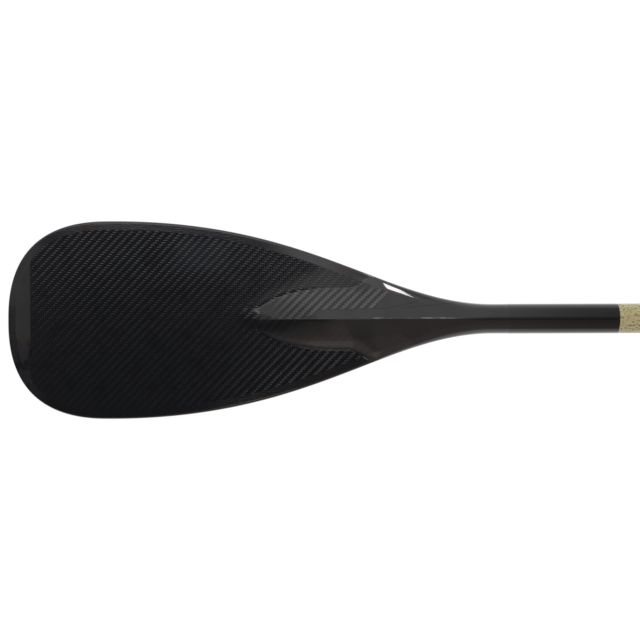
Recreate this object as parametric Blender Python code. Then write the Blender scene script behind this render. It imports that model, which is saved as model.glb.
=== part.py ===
"""One-piece carbon stand-up paddle, laid on the floor with the blade's power face up.

The paddle is drawn along its own shaft: +X runs from the blade to the grip, +Y across the
blade and +Z out of the power face, with x = 0 where the blade's neck butts on the shaft.
An empty then tips it so that the blade's tip and the grip both touch the floor.
"""
from math import asin, atan2, cos, pi, radians, sin, sqrt

import bmesh
import bpy
from mathutils import Matrix, Vector

# Driving dimensions, in metres
OVERALL_LENGTH = 2.100
BLADE_LENGTH = 0.4687
BLADE_WIDTH = 0.1847
BLADE_CANT = radians(10)
SHAFT_DIAMETER = 0.0265
GRIP_WIDTH = 0.104
GRIP_LENGTH = 0.078
GRIP_DEPTH = 0.031

# Fits between pieces
GAP = 0.0003

# Blade outline, as parts of the blade's length and half width
WIDEST_AT = 0.201 * BLADE_LENGTH
TIP_FULLNESS = 0.2125
TIP_REACH = 0.203 * BLADE_LENGTH
SIDE_REACH = 0.422 * BLADE_LENGTH
NECK_REACH = 0.208 * BLADE_LENGTH
FERRULE_LENGTH = 0.014
BEND_LENGTH = 0.218 * BLADE_LENGTH

# Blade laminate and edges
PLATE_THICKNESS = 0.005
SKIN_THICKNESS = 0.0009
RAIL_WIDTH = 0.0083
RAIL_EDGE = 0.82
NOSE_WIDTH = 0.0014
TIP_BLOCK_LENGTH = 0.0240
TIP_THINNING = 0.70
SPAR_TIP_WIDTH = 0.004
SPAR_NECK_WIDTH = 0.011

# Raised spine on each side of the blade, with places measured from the tip
SPINE_START = 0.474 * BLADE_LENGTH
SPINE_NOSE = 0.508 * BLADE_LENGTH
SPINE_FULL = 0.669 * BLADE_LENGTH
SPINE_TOP = 0.684 * BLADE_LENGTH
SPINE_FLARE_START = 0.693 * BLADE_LENGTH
SPINE_FLARE = 0.772 * BLADE_LENGTH
SPINE_EASE_IN = 0.3
SPINE_EASE_OUT = 0.7
SPINE_NOSE_WIDTH = 0.010
SPINE_HALF_WIDTH = 0.265 * BLADE_WIDTH / 2
SPINE_FLARE_WIDTH = 0.140 * BLADE_WIDTH / 2
CREST_HEIGHT = 0.0105
CREST_SHARPNESS = 0.5
FOLD_INNER = 0.93
BACK_SPINE_TOP = 0.768 * BLADE_LENGTH
BACK_CREST_HEIGHT = 0.0070
BACK_HALF_WIDTH = 0.325 * BLADE_WIDTH / 2

# Neck, where the flat blade turns into the round shaft, measured from the tip
NECK_BLEND_START = 0.704 * BLADE_LENGTH
NECK_START = 0.794 * BLADE_LENGTH
SOCKET_START = 0.922 * BLADE_LENGTH
NECK_SETTLE = 0.015
SLEEVE_THICKNESS = 0.0010

# Shaft layers, spigots and plugs
BRAID_THICKNESS = 0.0006
TUBE_WALL = 0.0013
BOND_THICKNESS = 0.0005
SPIGOT_WALL = 0.0012
SPIGOT_INSERTION = 0.060
BOND_LENGTH = 0.050
PLUG_LENGTH = 0.018
LABEL_LENGTH = 0.0968
LABEL_STEP = 0.0001
GRIP_SPIGOT_DEPTH = 0.020

# Palm grip shape, with places measured from its stem
GRIP_FLARE_START = 0.18 * GRIP_LENGTH
GRIP_FLARE_END = 0.69 * GRIP_LENGTH
GRIP_CROWN_START = 0.64 * GRIP_LENGTH
GRIP_FLARE_POWER = 1.4
GRIP_CROWN_POWER = 2.6
GRIP_SQUARENESS = 0.78
GRIP_CROWN_CLOSE = 0.985

# Mesh fineness
ROUND_SIDES = 36
OUTLINE_STEP = 0.0001
PANEL_STATIONS = 26
NECK_CORE_STATIONS = 8
SOCKET_STATIONS = 5
TIP_STATIONS = 8
GRIP_STATIONS = 13
SPINE_COLUMNS = (0.45, 0.68, 0.84, 0.95, 1.06, 1.2)
FLAT_COLUMNS = (0.3, 0.65, 1)
SPINE_COLUMN_LIMIT = 0.68
RAIL_COLUMNS = (1, 0.55)
NOSE_COLUMNS = (1, 0.3)

SHAFT_RADIUS = SHAFT_DIAMETER / 2
HALF_WIDTH = BLADE_WIDTH / 2
HALF_PLATE = PLATE_THICKNESS / 2
ROUND_START = BLADE_LENGTH - FERRULE_LENGTH
BEND_RADIUS = BEND_LENGTH / BLADE_CANT
BEND_START = ROUND_START - BEND_LENGTH
NECK_BLEND_END = ROUND_START - NECK_SETTLE
TUBE_RADIUS = SHAFT_RADIUS - BRAID_THICKNESS - GAP
TUBE_BORE = TUBE_RADIUS - TUBE_WALL
BOND_RADIUS = TUBE_BORE - GAP
SPIGOT_RADIUS = BOND_RADIUS - BOND_THICKNESS - GAP
PLUG_RADIUS = SPIGOT_RADIUS - SPIGOT_WALL - GAP
SHAFT_LENGTH = OVERALL_LENGTH - BLADE_LENGTH - GRIP_LENGTH
GRIP_WALL = SHAFT_RADIUS - SPIGOT_RADIUS - GAP


def clear_scene():
    for item in list(bpy.data.objects):
        bpy.data.objects.remove(item, do_unlink=True)


def smooth_step(value, low, high):
    part = min(1.0, max(0.0, (value - low) / (high - low)))
    return part * part * (3 - 2 * part)


def spread(low, high, count):
    return [low + (high - low) * step / (count - 1) for step in range(count)]


# The blade's plan outline: a full round tip and a long reverse curve into the neck
def bezier(points, part):
    rest = 1 - part
    weights = (rest ** 3, 3 * rest ** 2 * part, 3 * rest * part ** 2, part ** 3)
    along = sum(weight * point[0] for weight, point in zip(weights, points))
    across = sum(weight * point[1] for weight, point in zip(weights, points))
    return along, across


TIP_CURVE = ((0, 0), (0, TIP_FULLNESS * HALF_WIDTH),
             (WIDEST_AT - TIP_REACH, HALF_WIDTH), (WIDEST_AT, HALF_WIDTH))
SIDE_CURVE = ((WIDEST_AT, HALF_WIDTH), (WIDEST_AT + SIDE_REACH, HALF_WIDTH),
              (ROUND_START - NECK_REACH, SHAFT_RADIUS), (ROUND_START, SHAFT_RADIUS))


def solve(points, axis, target):
    low, high = 0.0, 1.0
    for _ in range(40):
        middle = (low + high) / 2
        if bezier(points, middle)[axis] < target:
            low = middle
        else:
            high = middle
    return bezier(points, (low + high) / 2)


def half_width(s):
    if s >= ROUND_START:
        return SHAFT_RADIUS
    curve = TIP_CURVE if s < WIDEST_AT else SIDE_CURVE
    return solve(curve, 0, max(0.0, s))[1]


def edge_distance(y, s):
    """How far the plan point (s, y) lies inside the blade's outline."""
    width = half_width(s)
    inside = max(0.0, width - abs(y))
    if s < WIDEST_AT:
        behind = max(0.0, s - solve(TIP_CURVE, 1, abs(y))[0])
        reach = sqrt(inside ** 2 + behind ** 2)
        return inside * behind / reach if reach > 0 else 0.0
    slope = (half_width(s + OUTLINE_STEP) - half_width(s - OUTLINE_STEP)) / (2 * OUTLINE_STEP)
    return inside / sqrt(1 + slope ** 2)


def rail_reach(s):
    """Width of the rail measured straight across the blade."""
    slope = (half_width(s + OUTLINE_STEP) - half_width(s - OUTLINE_STEP)) / (2 * OUTLINE_STEP)
    return RAIL_WIDTH * sqrt(1 + slope ** 2)


# The blade's two surfaces
def plate_height(y, s):
    inside = edge_distance(y, s)
    slope = RAIL_EDGE + (1 - RAIL_EDGE) * min(1.0, inside / RAIL_WIDTH)
    thinning = TIP_THINNING + (1 - TIP_THINNING) * min(1.0, s / TIP_BLOCK_LENGTH)
    nose = 1 - min(1.0, inside / NOSE_WIDTH)
    return HALF_PLATE * thinning * slope * sqrt(1 - nose ** 2)


def spine_half_width(s):
    back = min(1.0, max(0.0, (SPINE_FULL - s) / (SPINE_FULL - SPINE_NOSE)))
    nose = SPINE_HALF_WIDTH * sqrt(1 - back ** 2)
    flare = SPINE_FLARE_WIDTH * smooth_step(s, SPINE_FLARE_START, SPINE_FLARE)
    return max(SPINE_NOSE_WIDTH, nose + flare)


def crest_rise(s):
    """The crest's climb from 0 to 1: easing in, then straight, then easing level."""
    part = min(1.0, max(0.0, (s - SPINE_START) / (SPINE_TOP - SPINE_START)))
    total = (1 + SPINE_EASE_OUT - SPINE_EASE_IN) / 2
    if part < SPINE_EASE_IN:
        climbed = part ** 2 / (2 * SPINE_EASE_IN)
    elif part < SPINE_EASE_OUT:
        climbed = part - SPINE_EASE_IN / 2
    else:
        climbed = total - (1 - part) ** 2 / (2 * (1 - SPINE_EASE_OUT))
    return climbed / total


def arch(away, sharpness):
    """A round arch, or with some sharpness an arch with a ridge along its top."""
    return sharpness * (1 - away) + (1 - sharpness) * sqrt(1 - away ** 2)


def neck_sharpness(s, spine):
    """The crest's ridge runs out along the neck, on the power face alone."""
    if spine is back_spine:
        return 0.0
    return CREST_SHARPNESS * (1 - smooth_step(s, NECK_START, ROUND_START))


def face_spine(y, s):
    """The ridged arch, folded softly into the flat and rounded off over the rail."""
    away = abs(y) / spine_half_width(s)
    foot = arch(FOLD_INNER, CREST_SHARPNESS)
    fall = CREST_SHARPNESS + (1 - CREST_SHARPNESS) * FOLD_INNER / sqrt(1 - FOLD_INNER ** 2)
    fold_outer = FOLD_INNER + 2 * foot / fall
    if away < FOLD_INNER:
        profile = arch(away, CREST_SHARPNESS)
    else:
        profile = foot * (max(0.0, fold_outer - away) / (fold_outer - FOLD_INNER)) ** 2
    edge = 1 - min(1.0, edge_distance(y, s) / RAIL_WIDTH)
    return CREST_HEIGHT * crest_rise(s) * profile * sqrt(1 - edge ** 2)


def back_spine(y, s):
    """A rounded swelling behind the crest."""
    away = min(1.0, abs(y) / BACK_HALF_WIDTH)
    rise = smooth_step(s, SPINE_START, BACK_SPINE_TOP)
    return BACK_CREST_HEIGHT * rise * (1 - away ** 2) ** 2


def surface_height(y, s, spine):
    """Distance of the power face or the back from the blade's middle surface."""
    blade = plate_height(y, s) + spine(y, s)
    ratio = min(1.0, abs(y) / half_width(s))
    neck = SHAFT_RADIUS * arch(ratio, neck_sharpness(s, spine))
    blend = smooth_step(s, NECK_BLEND_START, NECK_BLEND_END)
    return (1 - blend) * blade + blend * neck


def blade_point(s, y, rise):
    """Places a point of the blade: straight at the neck, then bent through the cant."""
    if s >= ROUND_START:
        return Vector((s - BLADE_LENGTH, y, rise))
    bend = min(BLADE_CANT, (ROUND_START - s) / BEND_RADIUS)
    straight = max(0.0, BEND_START - s)
    x = -FERRULE_LENGTH - BEND_RADIUS * sin(bend) - straight * cos(bend) - rise * sin(bend)
    z = -BEND_RADIUS * (1 - cos(bend)) - straight * sin(bend) + rise * cos(bend)
    return Vector((x, y, z))


# Mesh building: lofted rows of points, closed into solids
def bridge(mesh, first, second, closed):
    count = len(first)
    for step in range(count if closed else count - 1):
        after = (step + 1) % count
        mesh.faces.new((first[step], first[after], second[after], second[step]))


def add_rows(mesh, rows):
    return [[mesh.verts.new(point) for point in row] for row in rows]


def solid_loft(rows):
    """Closed loops joined end to end, with a cap on each end."""
    mesh = bmesh.new()
    made = add_rows(mesh, rows)
    for first, second in zip(made, made[1:]):
        bridge(mesh, first, second, True)
    mesh.faces.new(made[0])
    mesh.faces.new(made[-1])
    return mesh


def tube_loft(outer_rows, inner_rows):
    """Two nested lofts joined by a ring at each end."""
    mesh = bmesh.new()
    outer = add_rows(mesh, outer_rows)
    inner = add_rows(mesh, inner_rows)
    for made in (outer, inner):
        for first, second in zip(made, made[1:]):
            bridge(mesh, first, second, True)
    bridge(mesh, outer[0], inner[0], True)
    bridge(mesh, outer[-1], inner[-1], True)
    return mesh


def sheet_solid(upper_rows, lower_rows):
    """Two open sheets of the same layout joined round their four sides."""
    mesh = bmesh.new()
    upper = add_rows(mesh, upper_rows)
    lower = add_rows(mesh, lower_rows)
    for made in (upper, lower):
        for first, second in zip(made, made[1:]):
            bridge(mesh, first, second, False)
    bridge(mesh, upper[0], lower[0], False)
    bridge(mesh, upper[-1], lower[-1], False)
    for side in (0, -1):
        bridge(mesh, [row[side] for row in upper], [row[side] for row in lower], False)
    return mesh


def bowl_solid(outer_rows, inner_rows):
    """Half of a hollow shell: open at the stem and along the split, closed at the crown."""
    mesh = bmesh.new()
    outer = add_rows(mesh, outer_rows)
    inner = add_rows(mesh, inner_rows)
    for made in (outer, inner):
        for first, second in zip(made, made[1:]):
            bridge(mesh, first, second, False)
        mesh.faces.new(made[-1])
    bridge(mesh, outer[0], inner[0], False)
    for side in (0, -1):
        bridge(mesh, [row[side] for row in outer], [row[side] for row in inner], False)
    mesh.faces.new((outer[-1][0], outer[-1][-1], inner[-1][-1], inner[-1][0]))
    return mesh


def circle_row(x, radius, centre_z=0.0):
    turns = [2 * pi * step / ROUND_SIDES for step in range(ROUND_SIDES)]
    return [Vector((x, radius * cos(turn), centre_z + radius * sin(turn))) for turn in turns]


def paint(item, colour, roughness, metallic):
    material = bpy.data.materials.new(item.name)
    material.use_nodes = True
    shader = material.node_tree.nodes["Principled BSDF"]
    shader.inputs["Base Color"].default_value = (*colour, 1)
    shader.inputs["Roughness"].default_value = roughness
    shader.inputs["Metallic"].default_value = metallic
    item.data.materials.append(material)


CARBON = ((0.012, 0.012, 0.014), 0.18, 0.0)
RESIN = ((0.015, 0.013, 0.013), 0.20, 0.0)
FOAM = ((0.80, 0.76, 0.62), 0.85, 0.0)
ARAMID = ((0.46, 0.40, 0.22), 0.35, 0.0)
FILM = ((0.010, 0.010, 0.011), 0.15, 0.0)
ADHESIVE = ((0.72, 0.55, 0.25), 0.45, 0.0)


def finish(name, mesh, at, look, parent):
    """Turns a mesh into a named, painted object at its place on the paddle's axis."""
    bmesh.ops.translate(mesh, verts=mesh.verts, vec=(-at, 0, 0))
    bmesh.ops.recalc_face_normals(mesh, faces=mesh.faces)
    data = bpy.data.meshes.new(name)
    mesh.to_mesh(data)
    mesh.free()
    data.shade_smooth()
    data.set_sharp_from_angle(angle=radians(35))
    item = bpy.data.objects.new(name, data)
    bpy.context.collection.objects.link(item)
    item.parent = parent
    item.location = (at, 0, 0)
    paint(item, *look)
    return item


# Blade pieces
def section_loop(s, sides=ROUND_SIDES):
    """The blade's whole cross-section at s, as one loop from edge to edge and back."""
    width = half_width(s)
    loop = []
    for step in range(sides):
        turn = 2 * pi * step / sides
        y = width * cos(turn)
        if step in (0, sides // 2):
            rise = 0.0
        elif step < sides // 2:
            rise = surface_height(y, s, face_spine)
        else:
            rise = -surface_height(y, s, back_spine)
        loop.append(blade_point(s, y, rise))
    return loop


def make_tip_block(parent):
    depths = [(step / TIP_STATIONS) ** 2 for step in range(1, TIP_STATIONS + 1)]
    rows = [section_loop(TIP_BLOCK_LENGTH * depth) for depth in depths]
    return finish("blade_tip_block", solid_loft(rows), -BLADE_LENGTH, RESIN, parent)


def panel_stations():
    return spread(TIP_BLOCK_LENGTH + GAP, NECK_START - GAP, PANEL_STATIONS)


def panel_edge(s):
    return half_width(s) - rail_reach(s)


def make_rail(name, side, parent):
    rows = []
    for s in panel_stations():
        width = half_width(s)
        reach = rail_reach(s)
        nose = NOSE_WIDTH * reach / RAIL_WIDTH
        insets = [reach * part for part in RAIL_COLUMNS] + [nose * part for part in NOSE_COLUMNS]
        upper = [(width - inset, surface_height(width - inset, s, face_spine)) for inset in insets]
        lower = [(width - inset, -surface_height(width - inset, s, back_spine)) for inset in insets]
        outline = upper + [(width, 0.0)] + lower[::-1]
        rows.append([blade_point(s, side * y, rise) for y, rise in outline])
    return finish(name, solid_loft(rows), -BLADE_LENGTH, RESIN, parent)


def panel_columns(s):
    """Places across half the panel: close together over the spine, then out to the rail."""
    edge = panel_edge(s) - GAP
    guide = max(spine_half_width(s), SPINE_HALF_WIDTH / 2)
    guide = min(guide, SPINE_COLUMN_LIMIT * edge)
    inner = [part * guide for part in SPINE_COLUMNS]
    outer = [inner[-1] + (edge - inner[-1]) * part for part in FLAT_COLUMNS]
    return inner + outer


def skin_height(y, s, spine):
    """Height of the skin's flat facet at y, so that the pieces under it follow it."""
    columns = [0.0] + panel_columns(s)
    step = next((i for i, column in enumerate(columns[1:-1]) if y <= column), len(columns) - 2)
    low, high = columns[step], columns[step + 1]
    part = (y - low) / (high - low)
    return (1 - part) * surface_height(low, s, spine) + part * surface_height(high, s, spine)


def make_skin(name, side, spine, parent):
    outer, inner = [], []
    for s in panel_stations():
        columns = panel_columns(s)
        across = [-y for y in columns[::-1]] + [0.0] + columns
        heights = [surface_height(y, s, spine) for y in across]
        outer.append([blade_point(s, y, side * h) for y, h in zip(across, heights)])
        inner.append([blade_point(s, y, side * (h - SKIN_THICKNESS)) for y, h in zip(across, heights)])
    return finish(name, sheet_solid(outer, inner), -BLADE_LENGTH, CARBON, parent)


def spar_half_width(s):
    widen = smooth_step(s, SPINE_START, BACK_SPINE_TOP)
    return (SPAR_TIP_WIDTH + (SPAR_NECK_WIDTH - SPAR_TIP_WIDTH) * widen) / 2


def core_rows(across_at):
    """Upper and lower sheets of a core piece, clear of the two skins."""
    upper, lower = [], []
    cover = SKIN_THICKNESS + GAP
    for s in panel_stations():
        across = across_at(s)
        upper.append([blade_point(s, y, skin_height(abs(y), s, face_spine) - cover) for y in across])
        lower.append([blade_point(s, y, cover - skin_height(abs(y), s, back_spine)) for y in across])
    return upper, lower


def make_core(name, side, parent):
    def across_at(s):
        columns = [spar_half_width(s) + GAP] + panel_columns(s)
        return sorted(side * y for y in columns)

    upper, lower = core_rows(across_at)
    return finish(name, sheet_solid(upper, lower), -BLADE_LENGTH, FOAM, parent)


def make_spar(parent):
    def across_at(s):
        half = spar_half_width(s)
        return [-half, 0.0, half]

    upper, lower = core_rows(across_at)
    return finish("blade_spar", sheet_solid(upper, lower), -BLADE_LENGTH, CARBON, parent)


# Neck pieces
def core_stations():
    return spread(NECK_START, SOCKET_START - GAP, NECK_CORE_STATIONS)


def socket_stations():
    return spread(SOCKET_START, BLADE_LENGTH - GAP, SOCKET_STATIONS)


def inner_loop(s, clearance):
    """The inside of the neck's sleeve at s, drawn in further by a clearance."""
    width = half_width(s)
    blend = smooth_step(s, NECK_BLEND_START, NECK_BLEND_END)
    cover = SLEEVE_THICKNESS + clearance
    side_wall = cover + (rail_reach(s) - SLEEVE_THICKNESS) * (1 - blend)
    loop = []
    for step in range(ROUND_SIDES):
        turn = 2 * pi * step / ROUND_SIDES
        y = (width - side_wall) * cos(turn)
        spine = face_spine if step < ROUND_SIDES // 2 else back_spine
        side = 1 if step < ROUND_SIDES // 2 else -1
        flat = surface_height(y, s, spine) - cover
        if step in (0, ROUND_SIDES // 2):
            flat = 0.0
        full = (SHAFT_RADIUS - cover) * arch(abs(cos(turn)), neck_sharpness(s, spine))
        loop.append(blade_point(s, y, side * ((1 - blend) * flat + blend * full)))
    return loop


def make_neck_sleeve(parent):
    stations = core_stations() + socket_stations()
    outer = [section_loop(s) for s in stations]
    inner = [inner_loop(s, 0.0) for s in stations]
    return finish("neck_sleeve", tube_loft(outer, inner), -BLADE_LENGTH, CARBON, parent)


def make_neck_core(parent):
    rows = [inner_loop(s, GAP) for s in core_stations()]
    return finish("neck_core", solid_loft(rows), -BLADE_LENGTH, FOAM, parent)


def bore_loop(s, radius):
    """A straight bore along the shaft's line, met by the bent neck's cross-section at s."""
    bend = max(0.0, (ROUND_START - s) / BEND_RADIUS)
    sag = BEND_RADIUS * (1 - cos(bend))
    turns = [2 * pi * step / ROUND_SIDES for step in range(ROUND_SIDES)]
    return [blade_point(s, radius * cos(turn), (radius * sin(turn) + sag) / cos(bend))
            for turn in turns]


def make_spigot_socket(parent):
    outer = [inner_loop(s, GAP) for s in socket_stations()]
    bore = [bore_loop(s, SPIGOT_RADIUS + GAP) for s in socket_stations()]
    return finish("blade_spigot_socket", tube_loft(outer, bore), -BLADE_LENGTH, RESIN, parent)


# Round pieces along the shaft
def make_tube(name, start, end, radius, bore, look, parent):
    outer = [circle_row(start, radius), circle_row(end, radius)]
    inner = [circle_row(start, bore), circle_row(end, bore)]
    return finish(name, tube_loft(outer, inner), start, look, parent)


def make_plug(name, start, end, radius, look, parent):
    rows = [circle_row(start, radius), circle_row(end, radius)]
    return finish(name, solid_loft(rows), start, look, parent)


def make_blade_joint(parent):
    root = blade_point(SOCKET_START, 0, -SPIGOT_RADIUS).x + GAP
    bore = SPIGOT_RADIUS - SPIGOT_WALL
    make_tube("blade_spigot", root, SPIGOT_INSERTION, SPIGOT_RADIUS, bore, CARBON, parent)
    bond_start = (SPIGOT_INSERTION - BOND_LENGTH) / 2
    make_tube("blade_spigot_bond", bond_start, bond_start + BOND_LENGTH, BOND_RADIUS,
              SPIGOT_RADIUS + GAP, ADHESIVE, parent)
    make_plug("blade_spigot_plug", SPIGOT_INSERTION - PLUG_LENGTH, SPIGOT_INSERTION,
              PLUG_RADIUS, FOAM, parent)


def make_shaft(parent):
    make_tube("shaft_tube", GAP, SHAFT_LENGTH - GAP, TUBE_RADIUS, TUBE_BORE, CARBON, parent)
    make_tube("shaft_label", GAP, LABEL_LENGTH, SHAFT_RADIUS + LABEL_STEP,
              TUBE_RADIUS + GAP, FILM, parent)
    make_tube("shaft_braid", LABEL_LENGTH + GAP, SHAFT_LENGTH - GAP, SHAFT_RADIUS,
              TUBE_RADIUS + GAP, ARAMID, parent)
    plug_end = SHAFT_LENGTH - SPIGOT_INSERTION - GAP
    make_plug("shaft_top_plug", plug_end - PLUG_LENGTH, plug_end, TUBE_BORE - GAP, FOAM, parent)


def make_grip_joint(parent):
    start = SHAFT_LENGTH - SPIGOT_INSERTION
    bore = SPIGOT_RADIUS - SPIGOT_WALL
    make_tube("grip_spigot", start, SHAFT_LENGTH + GRIP_SPIGOT_DEPTH, SPIGOT_RADIUS, bore,
              CARBON, parent)
    bond_start = start + (SPIGOT_INSERTION - BOND_LENGTH) / 2
    make_tube("grip_bond", bond_start, bond_start + BOND_LENGTH, BOND_RADIUS,
              SPIGOT_RADIUS + GAP, ADHESIVE, parent)


# Palm grip: a stem that flares into a crossbar with a crowned top
def grip_size(x, cover):
    """Half width, half depth and squareness of the grip at x, under a wall of cover."""
    flare = smooth_step(x, GRIP_FLARE_START, GRIP_FLARE_END)
    crown = max(0.0, (x - GRIP_CROWN_START) / (GRIP_LENGTH - cover - GRIP_CROWN_START))
    width = SHAFT_RADIUS + (GRIP_WIDTH / 2 - SHAFT_RADIUS) * flare ** GRIP_FLARE_POWER
    depth = SHAFT_RADIUS + (GRIP_DEPTH / 2 - SHAFT_RADIUS) * flare
    power = GRIP_CROWN_POWER
    width = (width - cover) * max(0.0, 1 - crown ** power) ** (1 / power)
    depth = (depth - cover) * sqrt(max(0.0, 1 - crown ** 2))
    return width, depth, 1 - (1 - GRIP_SQUARENESS) * flare


def grip_loop(x, cover, start_turn, end_turn, count):
    width, depth, square = grip_size(x, cover)
    row = []
    for turn in spread(start_turn, end_turn, count):
        across = abs(cos(turn)) ** square * (1 if cos(turn) >= 0 else -1)
        rise = abs(sin(turn)) ** square * (1 if sin(turn) >= 0 else -1)
        row.append(Vector((SHAFT_LENGTH + x, width * across, depth * rise)))
    return row


def grip_stations(start, end):
    """Stations that crowd together where the crown closes."""
    turns = spread(0, pi / 2, GRIP_STATIONS)
    reach = (end - start) * GRIP_CROWN_CLOSE
    return [start + reach * sin(turn) for turn in turns]


def half_shell_row(x, cover, side):
    """One row of a shell half, ending half a gap short of the split."""
    width, depth, square = grip_size(x, cover)
    lift = min(0.9, GAP / 2 / depth) ** (1 / square)
    start = asin(lift)
    row = grip_loop(x, cover, start, pi - start, ROUND_SIDES // 2 + 1)
    return [Vector((point.x, point.y, side * point.z)) for point in row]


def make_grip_shell(name, side, parent):
    outer = [half_shell_row(x, 0.0, side) for x in grip_stations(GAP, GRIP_LENGTH)]
    inner_stations = grip_stations(GAP, GRIP_LENGTH - GRIP_WALL)
    inner = [half_shell_row(x, GRIP_WALL, side) for x in inner_stations]
    return finish(name, bowl_solid(outer, inner), SHAFT_LENGTH, CARBON, parent)


def make_grip_core(parent):
    """Foam that fills the shells, on the same stations and one short of their crown."""
    cover = GRIP_WALL + 2 * GAP
    start = GRIP_SPIGOT_DEPTH + GAP
    beyond = [x for x in grip_stations(GAP, GRIP_LENGTH - GRIP_WALL) if x > start + 2 * GAP]
    count = ROUND_SIDES + 1
    rows = [grip_loop(x, cover, 0, 2 * pi, count)[:-1] for x in [start] + beyond[:-1]]
    return finish("grip_core", solid_loft(rows), SHAFT_LENGTH + start, FOAM, parent)


# Laying the paddle on the floor
def all_points():
    bpy.context.view_layer.update()
    for item in bpy.data.objects:
        if item.type == "MESH":
            yield from (Vector(item.location) + vertex.co for vertex in item.data.vertices)


def lay_down(axis):
    """Tips the axis until the tip and the grip touch one level, then centres the paddle."""
    points = list(all_points())
    tip_side = [point for point in points if point.x < 0]
    grip_side = [point for point in points if point.x > SHAFT_LENGTH]
    tilt = 0.0
    for _ in range(8):
        turn = Matrix.Rotation(tilt, 3, "Y")
        tip = min(tip_side, key=lambda point: (turn @ point).z)
        grip = min(grip_side, key=lambda point: (turn @ point).z)
        tilt = atan2(grip.z - tip.z, grip.x - tip.x)
    turn = Matrix.Rotation(tilt, 3, "Y")
    laid = [turn @ point for point in points]
    low_x = min(point.x for point in laid)
    high_x = max(point.x for point in laid)
    low_z = min(point.z for point in laid)
    axis.rotation_euler = (0, tilt, 0)
    axis.location = (-(low_x + high_x) / 2, 0, -low_z)


def main():
    clear_scene()
    axis = bpy.data.objects.new("paddle_axis", None)
    bpy.context.collection.objects.link(axis)
    make_tip_block(axis)
    make_rail("blade_rail_left", 1, axis)
    make_rail("blade_rail_right", -1, axis)
    make_skin("blade_face_skin", 1, face_spine, axis)
    make_skin("blade_back_skin", -1, back_spine, axis)
    make_core("blade_core_left", 1, axis)
    make_core("blade_core_right", -1, axis)
    make_spar(axis)
    make_neck_sleeve(axis)
    make_neck_core(axis)
    make_spigot_socket(axis)
    make_blade_joint(axis)
    make_shaft(axis)
    make_grip_joint(axis)
    make_grip_shell("grip_shell_front", 1, axis)
    make_grip_shell("grip_shell_back", -1, axis)
    make_grip_core(axis)
    lay_down(axis)


main()
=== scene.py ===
"""The looks of the stand-up paddle: gloss twill carbon blade, olive braided shaft, palm grip.

The outer pieces of the blade and the neck are cut from one fine surface that follows the
CAD's own rules, so that the gloss runs on without a step from one piece to the next. The
shaft and the grip follow the same rules, the blade's two foam cores are refined from the
CAD's, and the other inner pieces keep their CAD shapes. Lengths are in metres.
"""
from math import atan2, cos, pi, radians, sin, sqrt

import bmesh
import bpy
import numpy as np
from mathutils import Matrix, Vector


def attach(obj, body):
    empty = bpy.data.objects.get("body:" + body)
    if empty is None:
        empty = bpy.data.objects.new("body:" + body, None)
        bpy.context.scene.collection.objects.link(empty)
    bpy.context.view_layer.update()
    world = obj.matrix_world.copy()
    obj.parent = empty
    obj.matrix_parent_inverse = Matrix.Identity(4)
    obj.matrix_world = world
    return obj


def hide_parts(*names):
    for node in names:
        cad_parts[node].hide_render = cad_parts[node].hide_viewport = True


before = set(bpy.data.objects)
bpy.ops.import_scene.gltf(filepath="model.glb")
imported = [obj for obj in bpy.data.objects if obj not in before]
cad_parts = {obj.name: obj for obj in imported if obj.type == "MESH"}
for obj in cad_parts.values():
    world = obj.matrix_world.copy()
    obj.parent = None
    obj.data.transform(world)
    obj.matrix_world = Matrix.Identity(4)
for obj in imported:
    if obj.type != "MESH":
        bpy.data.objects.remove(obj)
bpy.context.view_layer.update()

# Driving dimensions, the same as the CAD's
BLADE_LENGTH = 0.4687
BLADE_WIDTH = 0.1847
BLADE_CANT = radians(10)
SHAFT_DIAMETER = 0.0265
GRIP_WIDTH = 0.104
GRIP_LENGTH = 0.078
GRIP_DEPTH = 0.031
OVERALL_LENGTH = 2.100
GAP = 0.0003

WIDEST_AT = 0.201 * BLADE_LENGTH
TIP_FULLNESS = 0.2125
TIP_REACH = 0.203 * BLADE_LENGTH
SIDE_REACH = 0.422 * BLADE_LENGTH
NECK_REACH = 0.208 * BLADE_LENGTH
FERRULE_LENGTH = 0.014
BEND_LENGTH = 0.218 * BLADE_LENGTH
PLATE_THICKNESS = 0.005
SKIN_THICKNESS = 0.0009
RAIL_WIDTH = 0.0083
RAIL_LARGEST_SHARE = 0.62
RAIL_EDGE = 0.82
NOSE_WIDTH = 0.0014
TIP_BLOCK_LENGTH = 0.0240
TIP_THINNING = 0.70
SPINE_START = 0.474 * BLADE_LENGTH
SPINE_NOSE = 0.508 * BLADE_LENGTH
SPINE_FULL = 0.669 * BLADE_LENGTH
SPINE_TOP = 0.684 * BLADE_LENGTH
SPINE_FLARE_START = 0.693 * BLADE_LENGTH
SPINE_FLARE = 0.772 * BLADE_LENGTH
SPINE_EASE_IN = 0.3
SPINE_EASE_OUT = 0.7
SPINE_NOSE_WIDTH = 0.010
SPINE_HALF_WIDTH = 0.265 * BLADE_WIDTH / 2
SPINE_FLARE_WIDTH = 0.140 * BLADE_WIDTH / 2
CREST_HEIGHT = 0.0105
CREST_SHARPNESS = 0.5
FOLD_INNER = 0.93
BACK_SPINE_TOP = 0.768 * BLADE_LENGTH
BACK_CREST_HEIGHT = 0.0070
BACK_HALF_WIDTH = 0.325 * BLADE_WIDTH / 2
NECK_BLEND_START = 0.704 * BLADE_LENGTH
NECK_START = 0.794 * BLADE_LENGTH
NECK_SETTLE = 0.015
LABEL_LENGTH = 0.0968
LABEL_STEP = 0.0001
GRIP_FLARE_START = 0.18 * GRIP_LENGTH
GRIP_FLARE_END = 0.69 * GRIP_LENGTH
GRIP_CROWN_START = 0.64 * GRIP_LENGTH
GRIP_FLARE_POWER = 1.4
GRIP_CROWN_POWER = 2.6
GRIP_SQUARENESS = 0.78
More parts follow.
